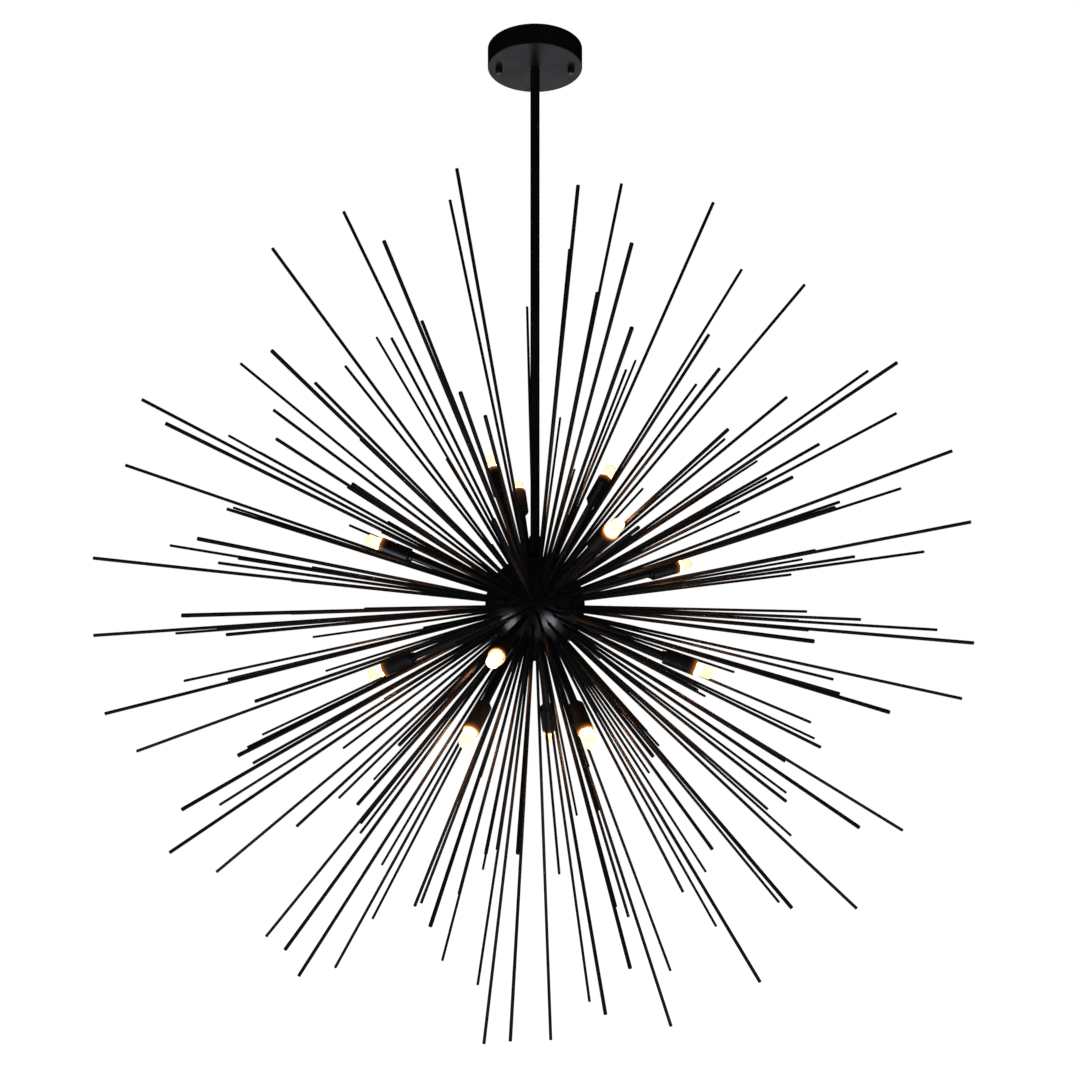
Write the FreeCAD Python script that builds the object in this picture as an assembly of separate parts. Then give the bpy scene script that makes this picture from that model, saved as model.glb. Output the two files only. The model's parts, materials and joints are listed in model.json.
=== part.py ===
import FreeCAD, Part
import math
import os
import random

# A starburst chandelier that hangs from a ceiling, in millimetres, +Z up.
# The origin is the middle of the strap's top face, which lies on the ceiling.
# The whole lamp hangs below it, and the viewer stands at -Y and looks along +Y.

Vector = FreeCAD.Vector
UP = Vector(0, 0, 1)

# Overall sizes
burst_d = 1168.0          # across the tips of the long rods
short_tip_r = 445.0       # hub centre to the tips of the short rods
ceiling_to_hub = 792.0    # ceiling to the hub's centre
overrun = 2.0             # how far every cutter runs past what it cuts
seat_gap = 0.3            # clearance between pieces that only rest or slide
thread_gap = 0.05         # clearance all round in a threaded joint

# Rods
rod_d = 4.2
rod_hole_gap = 0.1        # clearance round a rod in its hole
rod_sink = 0.4            # width and depth of the countersink at each hole
rod_web = 0.6             # least metal between two holes in the hub
rod_air = 1.2             # least air between a rod and a lamp
rod_bevel = 0.3

# Hub
hub_d = 142.0
hub_wall = 5.0
hub_seam_angle = 2.0      # the two shells meet this many degrees above the middle
hub_lip_h = 3.0
hub_lip_wall = 1.6
hub_core_d = 40.0         # splice housing in the middle

# Threaded tubes and their nuts
tube_thread_d = 10.0
tube_bore_d = 7.0
nut_flats = 14.0
nut_h = 4.0
cap_nut_d = 13.0
cap_nut_h = 8.0
cap_nut_wall = 1.6

# Stem and the coupling at its foot
stem_d = 13.2
stem_bore_d = 8.0
stem_top_drop = 14.0      # ceiling to the stem's upper end
nipple_grip = 18.0        # how far the nipple screws into the stem
coupling_d = 17.0
coupling_h = 28.0
coupling_grip = 14.0      # how far the stem goes into the coupling
coupling_bevel = 1.2
lead_d = 5.6

# Canopy and what holds it
canopy_d = 134.5
canopy_h = 27.0
canopy_wall = 1.5
canopy_corner_r = 1.0
strap_l = 118.0
strap_w = 20.0
strap_t = 2.5
slot_spacing = 69.85
slot_w = 4.8
slot_l = 13.0
stud_spacing = 102.6
stud_d = 4.0
washer_d = 18.0
washer_t = 1.2
ground_screw_x = 18.0
ground_screw_d = 4.0
ground_head_d = 8.0
ground_head_h = 2.4
thumb_nut_d = 10.0
thumb_nut_h = 7.0
thumb_rim_h = 2.2
thumb_rim_step = 0.6
thumb_groove_count = 18
thumb_groove_r = 0.5
thumb_floor = 2.0         # metal below the thumb nut's blind hole

# Lamp arms, cups, sockets and bulbs, placed by their distance from the hub's centre
arm_d = 10.5
arm_bore_d = 7.5
arm_hole_gap = 0.1
arm_nut_d = 15.0
arm_nut_h = 4.0
arm_tail = 6.0            # how far an arm reaches into the hub behind its nut
cup_d = 22.0
cup_wall = 1.2
cup_l = 46.0
cup_start = 197.0         # hub centre to a cup's closed end
cup_neck_d = 14.0
cup_neck_l = 5.0
cup_bevel = 1.0
cup_nut_h = 2.4
socket_d = 18.0
socket_l = 24.0
base_w = 13.0
base_t = 6.0
base_l = 9.0
base_in = 8.0             # how deep a bulb's base sits in its socket
pin_d = 1.1
pin_l = 6.0
pin_spacing = 9.0
bulb_d = 17.0
bulb_l = 43.0
bulb_glass = 0.8
filament_post_d = 1.6
filament_d = 3.2
filament_l = 14.0
filament_foot = 9.0       # height of the post below the filament
lamp_lead_d = 3.0

# Lamp directions, chosen by hand: degrees above the level, degrees right of the viewer
lamps = (
    (59, -149),
    (48, -171),
    (53, 133),
    (21.5, 24.5),
    (14.5, 114),
    (21.5, -98),
    (-22.5, -100),
    (-15.5, -11.5),
    (-42, -27),
    (-52, 171.5),
    (-42, 21),
    (-21, 78),
)

# Rings of rods: degrees above the level, count, first azimuth, long or short in turn
rings = (
    (76, 3, 46, "L"),
    (60, 9, -141, "LSL"),
    (49.5, 10, 10, "LS"),
    (37, 13, 10.5, "LSS"),
    (27, 18, -108, "LS"),
    (17, 20, -80, "LS"),
    (7.5, 22, 30, "LS"),
    (-3, 22, -5, "LS"),
    (-13, 20, -104, "LS"),
    (-22, 18, 38, "LS"),
    (-31, 16, 79, "LS"),
    (-40, 14, 15, "LS"),
    (-50, 12, 13, "LLS"),
    (-60, 9, -86, "LSL"),
    (-70, 6, -17, "LS"),
    (-80, 3, -123, "L"),
)
scatter = 2.2             # degrees by which a rod may miss its place in the ring
scatter_seed = 683

# Worked out from the sizes above
hub_r = hub_d / 2
hub_inner_r = hub_r - hub_wall
long_tip_r = burst_d / 2
rod_hole_r = rod_d / 2 + rod_hole_gap
hub_centre = Vector(0, 0, -ceiling_to_hub)
seam_z = hub_r * math.sin(math.radians(hub_seam_angle))
canopy_floor_z = -canopy_h
stem_foot_z = hub_r + coupling_h - coupling_grip
cup_end = cup_start + cup_l
arm_end = cup_start + cup_wall + cup_nut_h
socket_start = arm_end + seat_gap
socket_end = socket_start + socket_l
bulb_start = socket_end - base_in + base_l


def radial(latitude, azimuth):
    """Unit vector from the hub, by degrees above the level and right of the viewer."""
    lat = math.radians(latitude)
    turn = math.radians(azimuth)
    return Vector(math.cos(lat) * math.sin(turn), -math.cos(lat) * math.cos(turn), math.sin(lat))


def bar(direction, start, end, diameter):
    """Round bar along a direction, between two distances from the hub's centre."""
    return Part.makeCylinder(diameter / 2, end - start, hub_centre + direction * start, direction)


def upright(radius, low, high, x=0.0, y=0.0):
    """Upright cylinder between two heights."""
    return Part.makeCylinder(radius, high - low, Vector(x, y, low), UP)


def placed(shape, direction):
    """Move a shape made along +Z from the origin to a direction out of the hub."""
    moved = shape.copy()
    moved.Placement = FreeCAD.Placement(hub_centre, FreeCAD.Rotation(UP, direction))
    return moved


def turned(points):
    """Solid of revolution about Z from (radius, height) points."""
    corners = [Vector(radius, 0, height) for radius, height in points]
    wire = Part.makePolygon(corners + [corners[0]])
    return Part.Face(wire).revolve(Vector(0, 0, 0), UP, 360)


def hexagon(flats, low, high):
    """Upright hexagonal prism between two heights."""
    reach = flats / math.sqrt(3)
    corners = [Vector(reach * math.cos(math.radians(60 * k)), reach * math.sin(math.radians(60 * k)), low)
               for k in range(6)]
    face = Part.Face(Part.makePolygon(corners + [corners[0]]))
    return face.extrude(Vector(0, 0, high - low))


def save(name, shapes):
    """Write one node, as a single solid or as a group of separate solids."""
    shape = shapes[0] if len(shapes) == 1 else Part.makeCompound(shapes)
    shape.exportStep("parts/" + name + ".step")
    print(name, len(shape.Solids), "solids, valid", shape.isValid())


def angle_between(one, other):
    """Angle between two unit vectors, in radians."""
    return math.acos(max(-1.0, min(1.0, one.dot(other))))


def has_room(direction, kept, lamp_directions):
    """True where a rod clears the lamps, the coupling, the cap nut and its neighbours."""
    foot = rod_hole_r + rod_sink + rod_web
    at_arm = math.asin((arm_d / 2 + foot) / hub_r)
    at_cup = math.asin((cup_d / 2 + rod_d / 2 + rod_air) / (cup_start - cup_neck_l))
    lamp_angle = max(at_arm, at_cup)
    top_angle = math.asin((coupling_d / 2 + foot) / hub_r)
    low_angle = math.asin((cap_nut_d / 2 + foot) / hub_r)
    rod_angle = math.asin((rod_hole_r + rod_sink + foot) / hub_r)
    seam_angle = math.asin((rod_hole_r + rod_sink + rod_web) / hub_inner_r)
    if angle_between(direction, UP) < top_angle:
        return False
    if angle_between(direction, -UP) < low_angle:
        return False
    if abs(math.asin(direction.z) - math.asin(seam_z / hub_inner_r)) < seam_angle:
        return False
    if any(angle_between(direction, lamp) < lamp_angle for lamp in lamp_directions):
        return False
    return all(angle_between(direction, rod) > rod_angle for rod, _ in kept)


def rod_directions(lamp_directions):
    """Every rod's direction with its letter, L for long and S for short."""
    chance = random.Random(scatter_seed)
    kept = []
    for latitude, count, first, letters in rings:
        for k in range(count):
            lat = latitude + chance.uniform(-scatter, scatter)
            drift = chance.uniform(-scatter, scatter) / math.cos(math.radians(latitude))
            direction = radial(lat, first + k * 360 / count + drift)
            if has_room(direction, kept, lamp_directions):
                kept.append((direction, letters[k % len(letters)]))
    return kept


def rod(direction, tip):
    """One straight rod from the hub's inner face to its tip, with its end edges broken."""
    start = hub_inner_r
    body_end = tip - rod_bevel
    body = bar(direction, start, body_end, rod_d)
    nose = Part.makeCone(rod_d / 2, rod_d / 2 - rod_bevel, rod_bevel, hub_centre + direction * body_end, direction)
    return body.fuse(nose)


def rod_cutters(direction):
    """Hole and countersink for one rod."""
    hole = bar(direction, hub_inner_r - overrun, hub_r + overrun, rod_hole_r * 2)
    sink = Part.makeCone(rod_hole_r, rod_hole_r + rod_sink * 2, rod_sink * 2,
                         hub_centre + direction * (hub_r - rod_sink), direction)
    return [hole, sink]


def hub_shell(upper, rods, lamp_directions):
    """One hollow shell of the hub with its rod holes, arm holes and tube hole."""
    outer = Part.makeSphere(hub_r, hub_centre)
    inner = Part.makeSphere(hub_inner_r, hub_centre)
    size = hub_d + overrun * 2
    low = hub_centre.z + seam_z if upper else hub_centre.z + seam_z - size
    half = Part.makeBox(size, size, size, Vector(-size / 2, -size / 2, low))
    shell = outer.cut(inner).common(half)
    if not upper:
        shell = shell.fuse(hub_lip())
    side = 1 if upper else -1
    cutters = [bar(UP * side, hub_inner_r - overrun, hub_r + overrun, tube_thread_d + 2 * seat_gap)]
    for direction in lamp_directions:
        if direction.z * side > 0:
            hole_d = arm_d + 2 * arm_hole_gap
            cutters.append(bar(direction, hub_inner_r - overrun, hub_r + overrun, hole_d))
    for direction, _ in rods:
        if (direction.z * hub_inner_r - seam_z) * side > 0:
            cutters += rod_cutters(direction)
    return shell.cut(cutters)


def hub_lip():
    """Ring inside the lower shell that centres the upper shell."""
    lip_r = hub_inner_r - seat_gap
    foot_z = seam_z - hub_lip_h
    rim_z = seam_z + hub_lip_h
    ring_r = math.sqrt(lip_r ** 2 - rim_z ** 2)
    root_r = hub_inner_r + hub_wall / 2
    points = ((ring_r - hub_lip_wall, foot_z), (root_r, foot_z), (root_r, seam_z),
              (ring_r, seam_z), (ring_r, rim_z), (ring_r - hub_lip_wall, rim_z))
    return placed(turned(points), UP)


def thumb_nut(x):
    """Grooved round nut with a stepped lower rim, open above for its stud."""
    top = canopy_floor_z - seat_gap
    low = top - thumb_nut_h
    outer_r = thumb_nut_d / 2
    body = upright(outer_r, low + thumb_rim_h, top, x)
    rim = upright(outer_r - thumb_rim_step, low, low + thumb_rim_h, x)
    bore = upright(stud_d / 2 + thread_gap, low + thumb_floor, top + overrun, x)
    grooves = []
    for k in range(thumb_groove_count):
        turn = 2 * math.pi * k / thumb_groove_count
        grooves.append(upright(thumb_groove_r, low + thumb_rim_h, top - thumb_rim_step,
                               x + outer_r * math.cos(turn), outer_r * math.sin(turn)))
    return body.cut(grooves).fuse(rim).cut(bore)


def canopy():
    """Round pressed cover, open at the ceiling, with holes for the stem and the studs."""
    outer_r = canopy_d / 2
    outer = upright(outer_r, canopy_floor_z, 0)
    outer = outer.makeFillet(canopy_corner_r, [outer.Edges[k] for k in edges_at(outer, canopy_floor_z)])
    inner = upright(outer_r - canopy_wall, canopy_floor_z + canopy_wall, overrun)
    inner_corner_r = max(canopy_corner_r - canopy_wall, canopy_wall / 2)
    inner = inner.makeFillet(inner_corner_r,
                             [inner.Edges[k] for k in edges_at(inner, canopy_floor_z + canopy_wall)])
    shell = outer.cut(inner)
    low = canopy_floor_z - overrun
    high = canopy_floor_z + canopy_wall + overrun
    holes = [upright(stem_d / 2 + seat_gap, low, high)]
    for side in (-1, 1):
        holes.append(upright(stud_d / 2 + seat_gap, low, high, side * stud_spacing / 2))
    return shell.cut(holes)


def edges_at(shape, height):
    """Numbers of the closed round edges that lie at one height."""
    return [k for k, edge in enumerate(shape.Edges)
            if abs(edge.BoundBox.ZMin - height) < thread_gap and abs(edge.BoundBox.ZMax - height) < thread_gap]


def ceiling_strap():
    """Flat bar with rounded ends, two slots for box screws and threaded holes."""
    half = strap_l / 2 - strap_w / 2
    plate = Part.makeBox(2 * half, strap_w, strap_t, Vector(-half, -strap_w / 2, -strap_t))
    cutters = [upright(tube_thread_d / 2 + thread_gap, -strap_t - overrun, overrun)]
    for side in (-1, 1):
        plate = plate.fuse(upright(strap_w / 2, -strap_t, 0, side * half))
        cutters.append(upright(stud_d / 2 + thread_gap, -strap_t - overrun, overrun, side * stud_spacing / 2))
        cutters.append(slot(side * slot_spacing / 2))
    cutters.append(upright(ground_screw_d / 2 + thread_gap, -strap_t - overrun, overrun, ground_screw_x))
    return plate.removeSplitter().cut(cutters)


def slot(x):
    """Cutter for one slot that runs along X."""
    straight = slot_l - slot_w
    low = -strap_t - overrun
    cutter = Part.makeBox(straight, slot_w, strap_t + 2 * overrun, Vector(x - straight / 2, -slot_w / 2, low))
    for side in (-1, 1):
        cutter = cutter.fuse(upright(slot_w / 2, low, overrun, x + side * straight / 2))
    return cutter.removeSplitter()


def ground_screw():
    """Earth screw with a slotted head under the strap."""
    head_z = -strap_t - seat_gap / 2
    head = upright(ground_head_d / 2, head_z - ground_head_h, head_z, ground_screw_x)
    groove = Part.makeBox(ground_head_d + overrun, ground_screw_d / 4, ground_head_h / 2,
                          Vector(ground_screw_x - (ground_head_d + overrun) / 2, -ground_screw_d / 8,
                                 head_z - ground_head_h))
    shank = upright(ground_screw_d / 2, head_z - ground_head_h / 2, 0, ground_screw_x)
    return shank.fuse(head.cut(groove))


def threaded_nut(low, high, offset):
    """Hexagonal nut on the upright tube, at a height above a base height."""
    hole = upright(tube_thread_d / 2 + thread_gap, low - overrun, high + overrun)
    nut = hexagon(nut_flats, low, high).cut(hole)
    nut.translate(Vector(0, 0, offset))
    return nut


def cup():
    """Lamp cup along +Z: a neck round the arm, a closed end and an open mouth."""
    outer_r = cup_d / 2
    inner_r = outer_r - cup_wall
    hole_r = arm_d / 2 + arm_hole_gap
    neck_r = cup_neck_d / 2
    floor = cup_start + cup_wall
    points = ((hole_r, cup_start - cup_neck_l), (neck_r, cup_start - cup_neck_l), (neck_r, cup_start),
              (outer_r - cup_bevel, cup_start), (outer_r, cup_start + cup_bevel), (outer_r, cup_end),
              (inner_r, cup_end), (inner_r, floor), (hole_r, floor))
    return turned(points)


def arm():
    """Hollow arm along +Z from inside the hub to inside the cup."""
    start = hub_inner_r - arm_nut_h - arm_tail
    outer = Part.makeCylinder(arm_d / 2, arm_end - start, UP * start, UP)
    bore = Part.makeCylinder(arm_bore_d / 2, arm_end - start + 2 * overrun, UP * (start - overrun), UP)
    return outer.cut(bore)


def arm_nut():
    """Round nut that clamps an arm from inside the hub, along +Z."""
    reach = math.sqrt(hub_inner_r ** 2 - (arm_nut_d / 2) ** 2) - seat_gap
    return ring(arm_nut_d / 2, arm_d / 2 + thread_gap, reach - arm_nut_h, reach)


def cup_nut():
    """Thin round nut that clamps a cup on the end of its arm, along +Z."""
    start = cup_start + cup_wall
    return ring(cup_neck_d / 2, arm_d / 2 + thread_gap, start, start + cup_nut_h)


def ring(outer_r, inner_r, low, high):
    """Upright tube between two heights."""
    return turned(((inner_r, low), (outer_r, low), (outer_r, high), (inner_r, high)))


def socket():
    """Ceramic socket along +Z with a slot for the bulb's base and two pin holes."""
    body = Part.makeCylinder(socket_d / 2, socket_l, UP * socket_start, UP)
    slot_floor = socket_end - base_in - seat_gap
    width = base_w + 2 * seat_gap
    depth = base_t + 2 * seat_gap
    cutters = [Part.makeBox(width, depth, base_in + seat_gap + overrun, Vector(-width / 2, -depth / 2, slot_floor))]
    for side in (-1, 1):
        hole_at = Vector(side * pin_spacing / 2, 0, slot_floor - pin_l - seat_gap)
        cutters.append(Part.makeCylinder(pin_d / 2 + thread_gap, pin_l + overrun, hole_at, UP))
    return body.cut(cutters)


def bulb_glass_shell():
    """Hollow glass capsule along +Z with a flat foot and a round nose."""
    outer = capsule(bulb_d / 2, bulb_start, bulb_start + bulb_l)
    inner = capsule(bulb_d / 2 - bulb_glass, bulb_start + bulb_glass, bulb_start + bulb_l - bulb_glass)
    return outer.cut(inner)


def capsule(radius, low, high):
    """Cylinder along +Z with a half ball on its upper end."""
    body = Part.makeCylinder(radius, high - low - radius, UP * low, UP)
    return body.fuse(Part.makeSphere(radius, UP * (high - radius))).removeSplitter()


def bulb_core():
    """A bulb's base with its pins, and the filament on its post inside the glass."""
    low = bulb_start - base_l
    base = Part.makeBox(base_w, base_t, base_l, Vector(-base_w / 2, -base_t / 2, low))
    for side in (-1, 1):
        pin_at = Vector(side * pin_spacing / 2, 0, low - pin_l)
        base = base.fuse(Part.makeCylinder(pin_d / 2, pin_l, pin_at, UP))
    post_low = bulb_start + bulb_glass
    coil_low = post_low + filament_foot
    post = Part.makeCylinder(filament_post_d / 2, filament_foot, UP * post_low, UP)
    coil = Part.makeCylinder(filament_d / 2, filament_l, UP * coil_low, UP)
    return [base, post.fuse(coil)]


def build_ceiling_parts():
    """Strap, studs, nipple, nuts, washer, canopy and thumb nuts."""
    save("ceiling_strap", [ceiling_strap()])
    stud_low = canopy_floor_z - thumb_nut_h + thumb_floor
    save("strap_studs", [upright(stud_d / 2, stud_low, 0, side * stud_spacing / 2) for side in (-1, 1)])
    save("ground_screw", [ground_screw()])
    nipple_low = -stem_top_drop - nipple_grip
    save("stem_nipple", [ring(tube_thread_d / 2, tube_bore_d / 2, nipple_low, 0)])
    under_washer = -strap_t - washer_t
    save("nipple_washer", [ring(washer_d / 2, tube_thread_d / 2 + thread_gap, under_washer, -strap_t)])
    save("nipple_nuts", [threaded_nut(under_washer - nut_h, under_washer, 0),
                         threaded_nut(-stem_top_drop, -stem_top_drop + nut_h, 0)])
    save("canopy", [canopy()])
    save("thumb_nut_left", [thumb_nut(-stud_spacing / 2)])
    save("thumb_nut_right", [thumb_nut(stud_spacing / 2)])


def build_stem():
    """Stem, coupling, tie tube, supply lead and the nuts that hold the hub."""
    foot = hub_centre.z + stem_foot_z
    head = -stem_top_drop
    stem = ring(stem_d / 2, stem_bore_d / 2, foot, head)
    thread = upright(tube_thread_d / 2 + thread_gap, head - nipple_grip - seat_gap, head + overrun)
    save("stem", [stem.cut(thread)])
    seat = math.sqrt(hub_r ** 2 - (coupling_d / 2 - coupling_bevel) ** 2) + thread_gap
    top = hub_r + coupling_h
    points = ((tube_thread_d / 2 + thread_gap, seat), (coupling_d / 2 - coupling_bevel, seat),
              (coupling_d / 2, seat + coupling_bevel), (coupling_d / 2, top - coupling_bevel),
              (coupling_d / 2 - coupling_bevel, top), (stem_d / 2 + thread_gap, top),
              (stem_d / 2 + thread_gap, stem_foot_z - thread_gap),
              (tube_thread_d / 2 + thread_gap, stem_foot_z - thread_gap))
    save("hub_coupling", [placed(turned(points).cut(Part.makeSphere(hub_r + thread_gap)), UP)])
    tie_top = stem_foot_z - thread_gap
    cap_floor = cap_top() - cap_nut_h + cap_nut_wall + seat_gap
    save("hub_tie_tube", [placed(ring(tube_thread_d / 2, tube_bore_d / 2, cap_floor, tie_top), UP)])
    inner_top = math.sqrt(hub_inner_r ** 2 - nut_flats ** 2 / 3) - seat_gap
    save("hub_lock_nuts", [threaded_nut(inner_top - nut_h, inner_top, hub_centre.z),
                           threaded_nut(-inner_top, -inner_top + nut_h, hub_centre.z)])
    save("hub_cap_nut", [placed(cap_nut(), UP)])
    save("supply_lead", [upright(lead_d / 2, hub_centre.z, -strap_t)])


def cap_top():
    """Height of the cap nut's flat upper face below the hub's centre."""
    return -math.sqrt(hub_r ** 2 - (cap_nut_d / 2) ** 2) - seat_gap


def cap_nut():
    """Round domed nut under the hub, made about its own height."""
    top = cap_top()
    outer_r = cap_nut_d / 2
    low = top - cap_nut_h
    points = ((0, low), (outer_r - cap_nut_wall, low), (outer_r, low + cap_nut_wall), (outer_r, top), (0, top))
    bore = Part.makeCylinder(tube_thread_d / 2 + thread_gap, cap_nut_h, UP * (low + cap_nut_wall), UP)
    return turned(points).cut(bore)


def build_hub(rods, lamp_directions):
    """Both shells, the splice housing inside and every rod."""
    save("hub_upper_shell", [hub_shell(True, rods, lamp_directions)])
    save("hub_lower_shell", [hub_shell(False, rods, lamp_directions)])
    core = Part.makeSphere(hub_core_d / 2)
    core = core.cut(Part.makeCylinder(tube_thread_d / 2 + seat_gap, hub_d, UP * -hub_r, UP))
    save("splice_housing", [placed(core, UP)])
    for length, letter, tip in (("long", "L", long_tip_r), ("short", "S", short_tip_r)):
        for half, side in (("upper", 1), ("lower", -1)):
            group = [rod(direction, tip) for direction, kind in rods
                     if kind == letter and (direction.z * hub_inner_r - seam_z) * side > 0]
            save(length + "_rods_" + half, group)


def build_lamps(lamp_directions):
    """Arms, nuts, cups, sockets and leads as groups, and each bulb as its own nodes."""
    groups = (("lamp_arms", arm()), ("arm_nuts", arm_nut()), ("lamp_cups", cup()),
              ("cup_nuts", cup_nut()), ("lamp_sockets", socket()))
    for name, shape in groups:
        save(name, [placed(shape, direction) for direction in lamp_directions])
    save("lamp_leads", [bar(direction, hub_core_d / 2 + thread_gap, socket_start - thread_gap, lamp_lead_d)
                        for direction in lamp_directions])
    glass = bulb_glass_shell()
    core = bulb_core()
    for number, direction in enumerate(lamp_directions, 1):
        name = "bulb_%02d" % number
        save(name + "_glass", [placed(glass, direction)])
        save(name + "_core", [placed(shape, direction) for shape in core])


def build():
    """Write every node of the chandelier."""
    os.makedirs("parts", exist_ok=True)
    lamp_directions = [radial(latitude, azimuth) for latitude, azimuth in lamps]
    rods = rod_directions(lamp_directions)
    print("rods", len(rods))
    build_ceiling_parts()
    build_stem()
    build_hub(rods, lamp_directions)
    build_lamps(lamp_directions)


build()
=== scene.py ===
"""A starburst chandelier, dressed around its construction model.

Lengths are in metres, in the model's own frame: +Z is up, the ceiling is at height
zero and the viewer stands at -Y. The hub's centre, the directions of the rods and
lamps, and every piece's place are read from the frame.
"""

import json
import logging
import math
from collections.abc import Callable, Mapping, Sequence
from dataclasses import dataclass, field
from enum import Enum

import bmesh
import bpy
import numpy as np
from mathutils import Matrix, Vector


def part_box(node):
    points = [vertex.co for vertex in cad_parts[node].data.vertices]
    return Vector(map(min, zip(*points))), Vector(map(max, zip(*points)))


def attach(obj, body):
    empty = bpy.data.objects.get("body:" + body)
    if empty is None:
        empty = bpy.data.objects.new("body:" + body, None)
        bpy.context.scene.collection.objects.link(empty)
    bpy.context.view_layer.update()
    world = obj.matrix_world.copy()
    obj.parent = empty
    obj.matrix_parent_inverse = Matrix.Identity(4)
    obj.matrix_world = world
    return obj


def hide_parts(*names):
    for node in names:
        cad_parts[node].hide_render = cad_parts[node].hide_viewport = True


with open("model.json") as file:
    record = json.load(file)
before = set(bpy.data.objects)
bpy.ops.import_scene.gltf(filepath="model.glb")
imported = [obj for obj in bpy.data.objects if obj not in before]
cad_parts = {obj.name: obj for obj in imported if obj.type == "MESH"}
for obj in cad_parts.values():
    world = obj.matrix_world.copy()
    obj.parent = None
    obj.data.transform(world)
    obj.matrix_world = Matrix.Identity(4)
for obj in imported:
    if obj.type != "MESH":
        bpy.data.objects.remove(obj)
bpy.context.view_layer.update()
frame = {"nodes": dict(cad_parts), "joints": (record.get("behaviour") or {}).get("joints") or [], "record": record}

log = logging.getLogger("chandelier")

Colour = tuple[float, float, float]
Point = tuple[float, float]
Socket = bpy.types.NodeSocket

UP = Vector((0.0, 0.0, 1.0))
TINY = 1e-6
EDGE = 0.0003  # how far a plain metal edge is rounded
EVEN: Colour = (1.0, 1.0, 1.0)
WHOLE: Point = (0.0, 1.0)
CLOUDS: Point = (0.3, 0.7)  # between these lies most of a cloudy pattern


class Body(str, Enum):
    """Bodies of the construction model that new pieces ride on."""

    FIXTURE = "fixture"
    CANOPY = "canopy_cover"
    NUT_LEFT = "nut_left"
    NUT_RIGHT = "nut_right"


class Slot(str, Enum):
    """Material slots of the construction record."""

    SATIN_BLACK = "satin_black"
    HUB_BLACK = "hub_black"
    ROD_BLACK = "rod_black"
    CUP_BLACK = "cup_black"
    BLACK_NUT = "black_nut"
    ZINC_STEEL = "zinc_steel"
    BRASS_EARTH = "brass_earth"
    PHENOLIC = "phenolic"
    LEAD_JACKET = "lead_jacket"
    CERAMIC = "ceramic"
    CLEAR_GLASS = "clear_glass"
    LIT_CORE = "lit_core"


class Trait(str, Enum):
    """Named values that meshes carry for the recipes and the finishes."""

    SPOKE = "spoke"
    REACH = "reach"
    # on a bulb, how strongly it glows; on a cup, how strongly the painted glow of the bulb's light shows
    WARMTH = "warmth"


class Graph:
    """Short calls for building a node tree."""

    def __init__(self, tree: bpy.types.NodeTree) -> None:
        """Hold the material's or modifier's node tree."""
        self.tree = tree

    def add(self, kind: str, inputs: Mapping[str | int, object] | None = None,
            **settings: object) -> bpy.types.Node:
        """Add one node.

        Args:
            kind: Blender's identifier of the node.
            inputs: A value or another node's output for each named or numbered input.
            **settings: Properties of the node itself.

        Returns:
            The new node.
        """
        node = self.tree.nodes.new(kind)
        for name, value in settings.items():
            setattr(node, name, value)
        for name, value in (inputs or {}).items():
            socket = node.inputs[name]
            if isinstance(value, Socket):
                self.tree.links.new(value, socket)
            else:
                socket.default_value = value
        return node

    def out(self, kind: str, inputs: Mapping[str | int, object] | None = None,
            output: str | int = 0, **settings: object) -> Socket:
        """Add one node and give one of its outputs, the first unless another is asked for."""
        return self.add(kind, inputs, **settings).outputs[output]

    def math(self, operation: str, one: object, other: object = 0.0) -> Socket:
        """Combine two numbers or outputs by one of Blender's operations."""
        return self.out("ShaderNodeMath", {0: one, 1: other}, operation=operation)


class Recipe(Graph):
    """A Geometry Nodes tree with named inputs, run on an object and kept as a plain mesh."""

    def __init__(self, name: str, **inputs: str) -> None:
        """Make the empty tree.

        Args:
            name: Name of the tree.
            **inputs: Kind of socket for each named input besides the geometry and the material.
        """
        super().__init__(bpy.data.node_groups.new(name, "GeometryNodeTree"))
        face = self.tree.interface
        for label, kind in {"Geometry": "Geometry", **inputs, "Material": "Material"}.items():
            face.new_socket(label, in_out="INPUT", socket_type="NodeSocket" + kind)
        face.new_socket("Geometry", in_out="OUTPUT", socket_type="NodeSocketGeometry")
        self.identifiers = {item.name: item.identifier for item in face.items_tree
                            if item.in_out == "INPUT"}
        self.given = self.add("NodeGroupInput").outputs

    def trait(self, name: Trait, kind: str) -> Socket:
        """Read a named value of the mesh, of one of Blender's data types."""
        return self.out("GeometryNodeInputNamedAttribute", {"Name": name.value}, "Attribute", data_type=kind)

    def facing(self, direction: Socket) -> Socket:
        """Turn that brings +Z to a direction."""
        return self.out("FunctionNodeAlignRotationToVector", {"Vector": direction}, "Rotation", axis="Z")

    def finish(self, *parts: Socket) -> None:
        """End the tree: one real geometry, smooth shading and the given material.

        Args:
            *parts: Outputs with what the tree makes.
        """
        whole = self.add("GeometryNodeJoinGeometry")
        for part in parts:
            self.tree.links.new(part, whole.inputs[0])
        real = self.out("GeometryNodeRealizeInstances", {"Geometry": whole.outputs[0]})
        welded = self.out("GeometryNodeMergeByDistance", {"Geometry": real, "Distance": TINY})
        smooth = self.out("GeometryNodeSetShadeSmooth", {"Geometry": welded})
        painted = self.out("GeometryNodeSetMaterial",
                           {"Geometry": smooth, "Material": self.given["Material"]})
        self.add("NodeGroupOutput", {"Geometry": painted})

    def cook(self, source: bpy.types.Object, material: bpy.types.Material,
             **values: object) -> bpy.types.Object:
        """Run the tree on an object and keep the result as the object's own mesh.

        Args:
            source: Object whose mesh goes in.
            material: Finish of the result.
            **values: A value for each named input.

        Returns:
            The same object, with the finished mesh and no modifier.
        """
        modifier = source.modifiers.new(self.tree.name, "NODES")
        modifier.node_group = self.tree
        for label, value in {**values, "Material": material}.items():
            modifier[self.identifiers[label]] = value
        return frozen(source)


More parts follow.
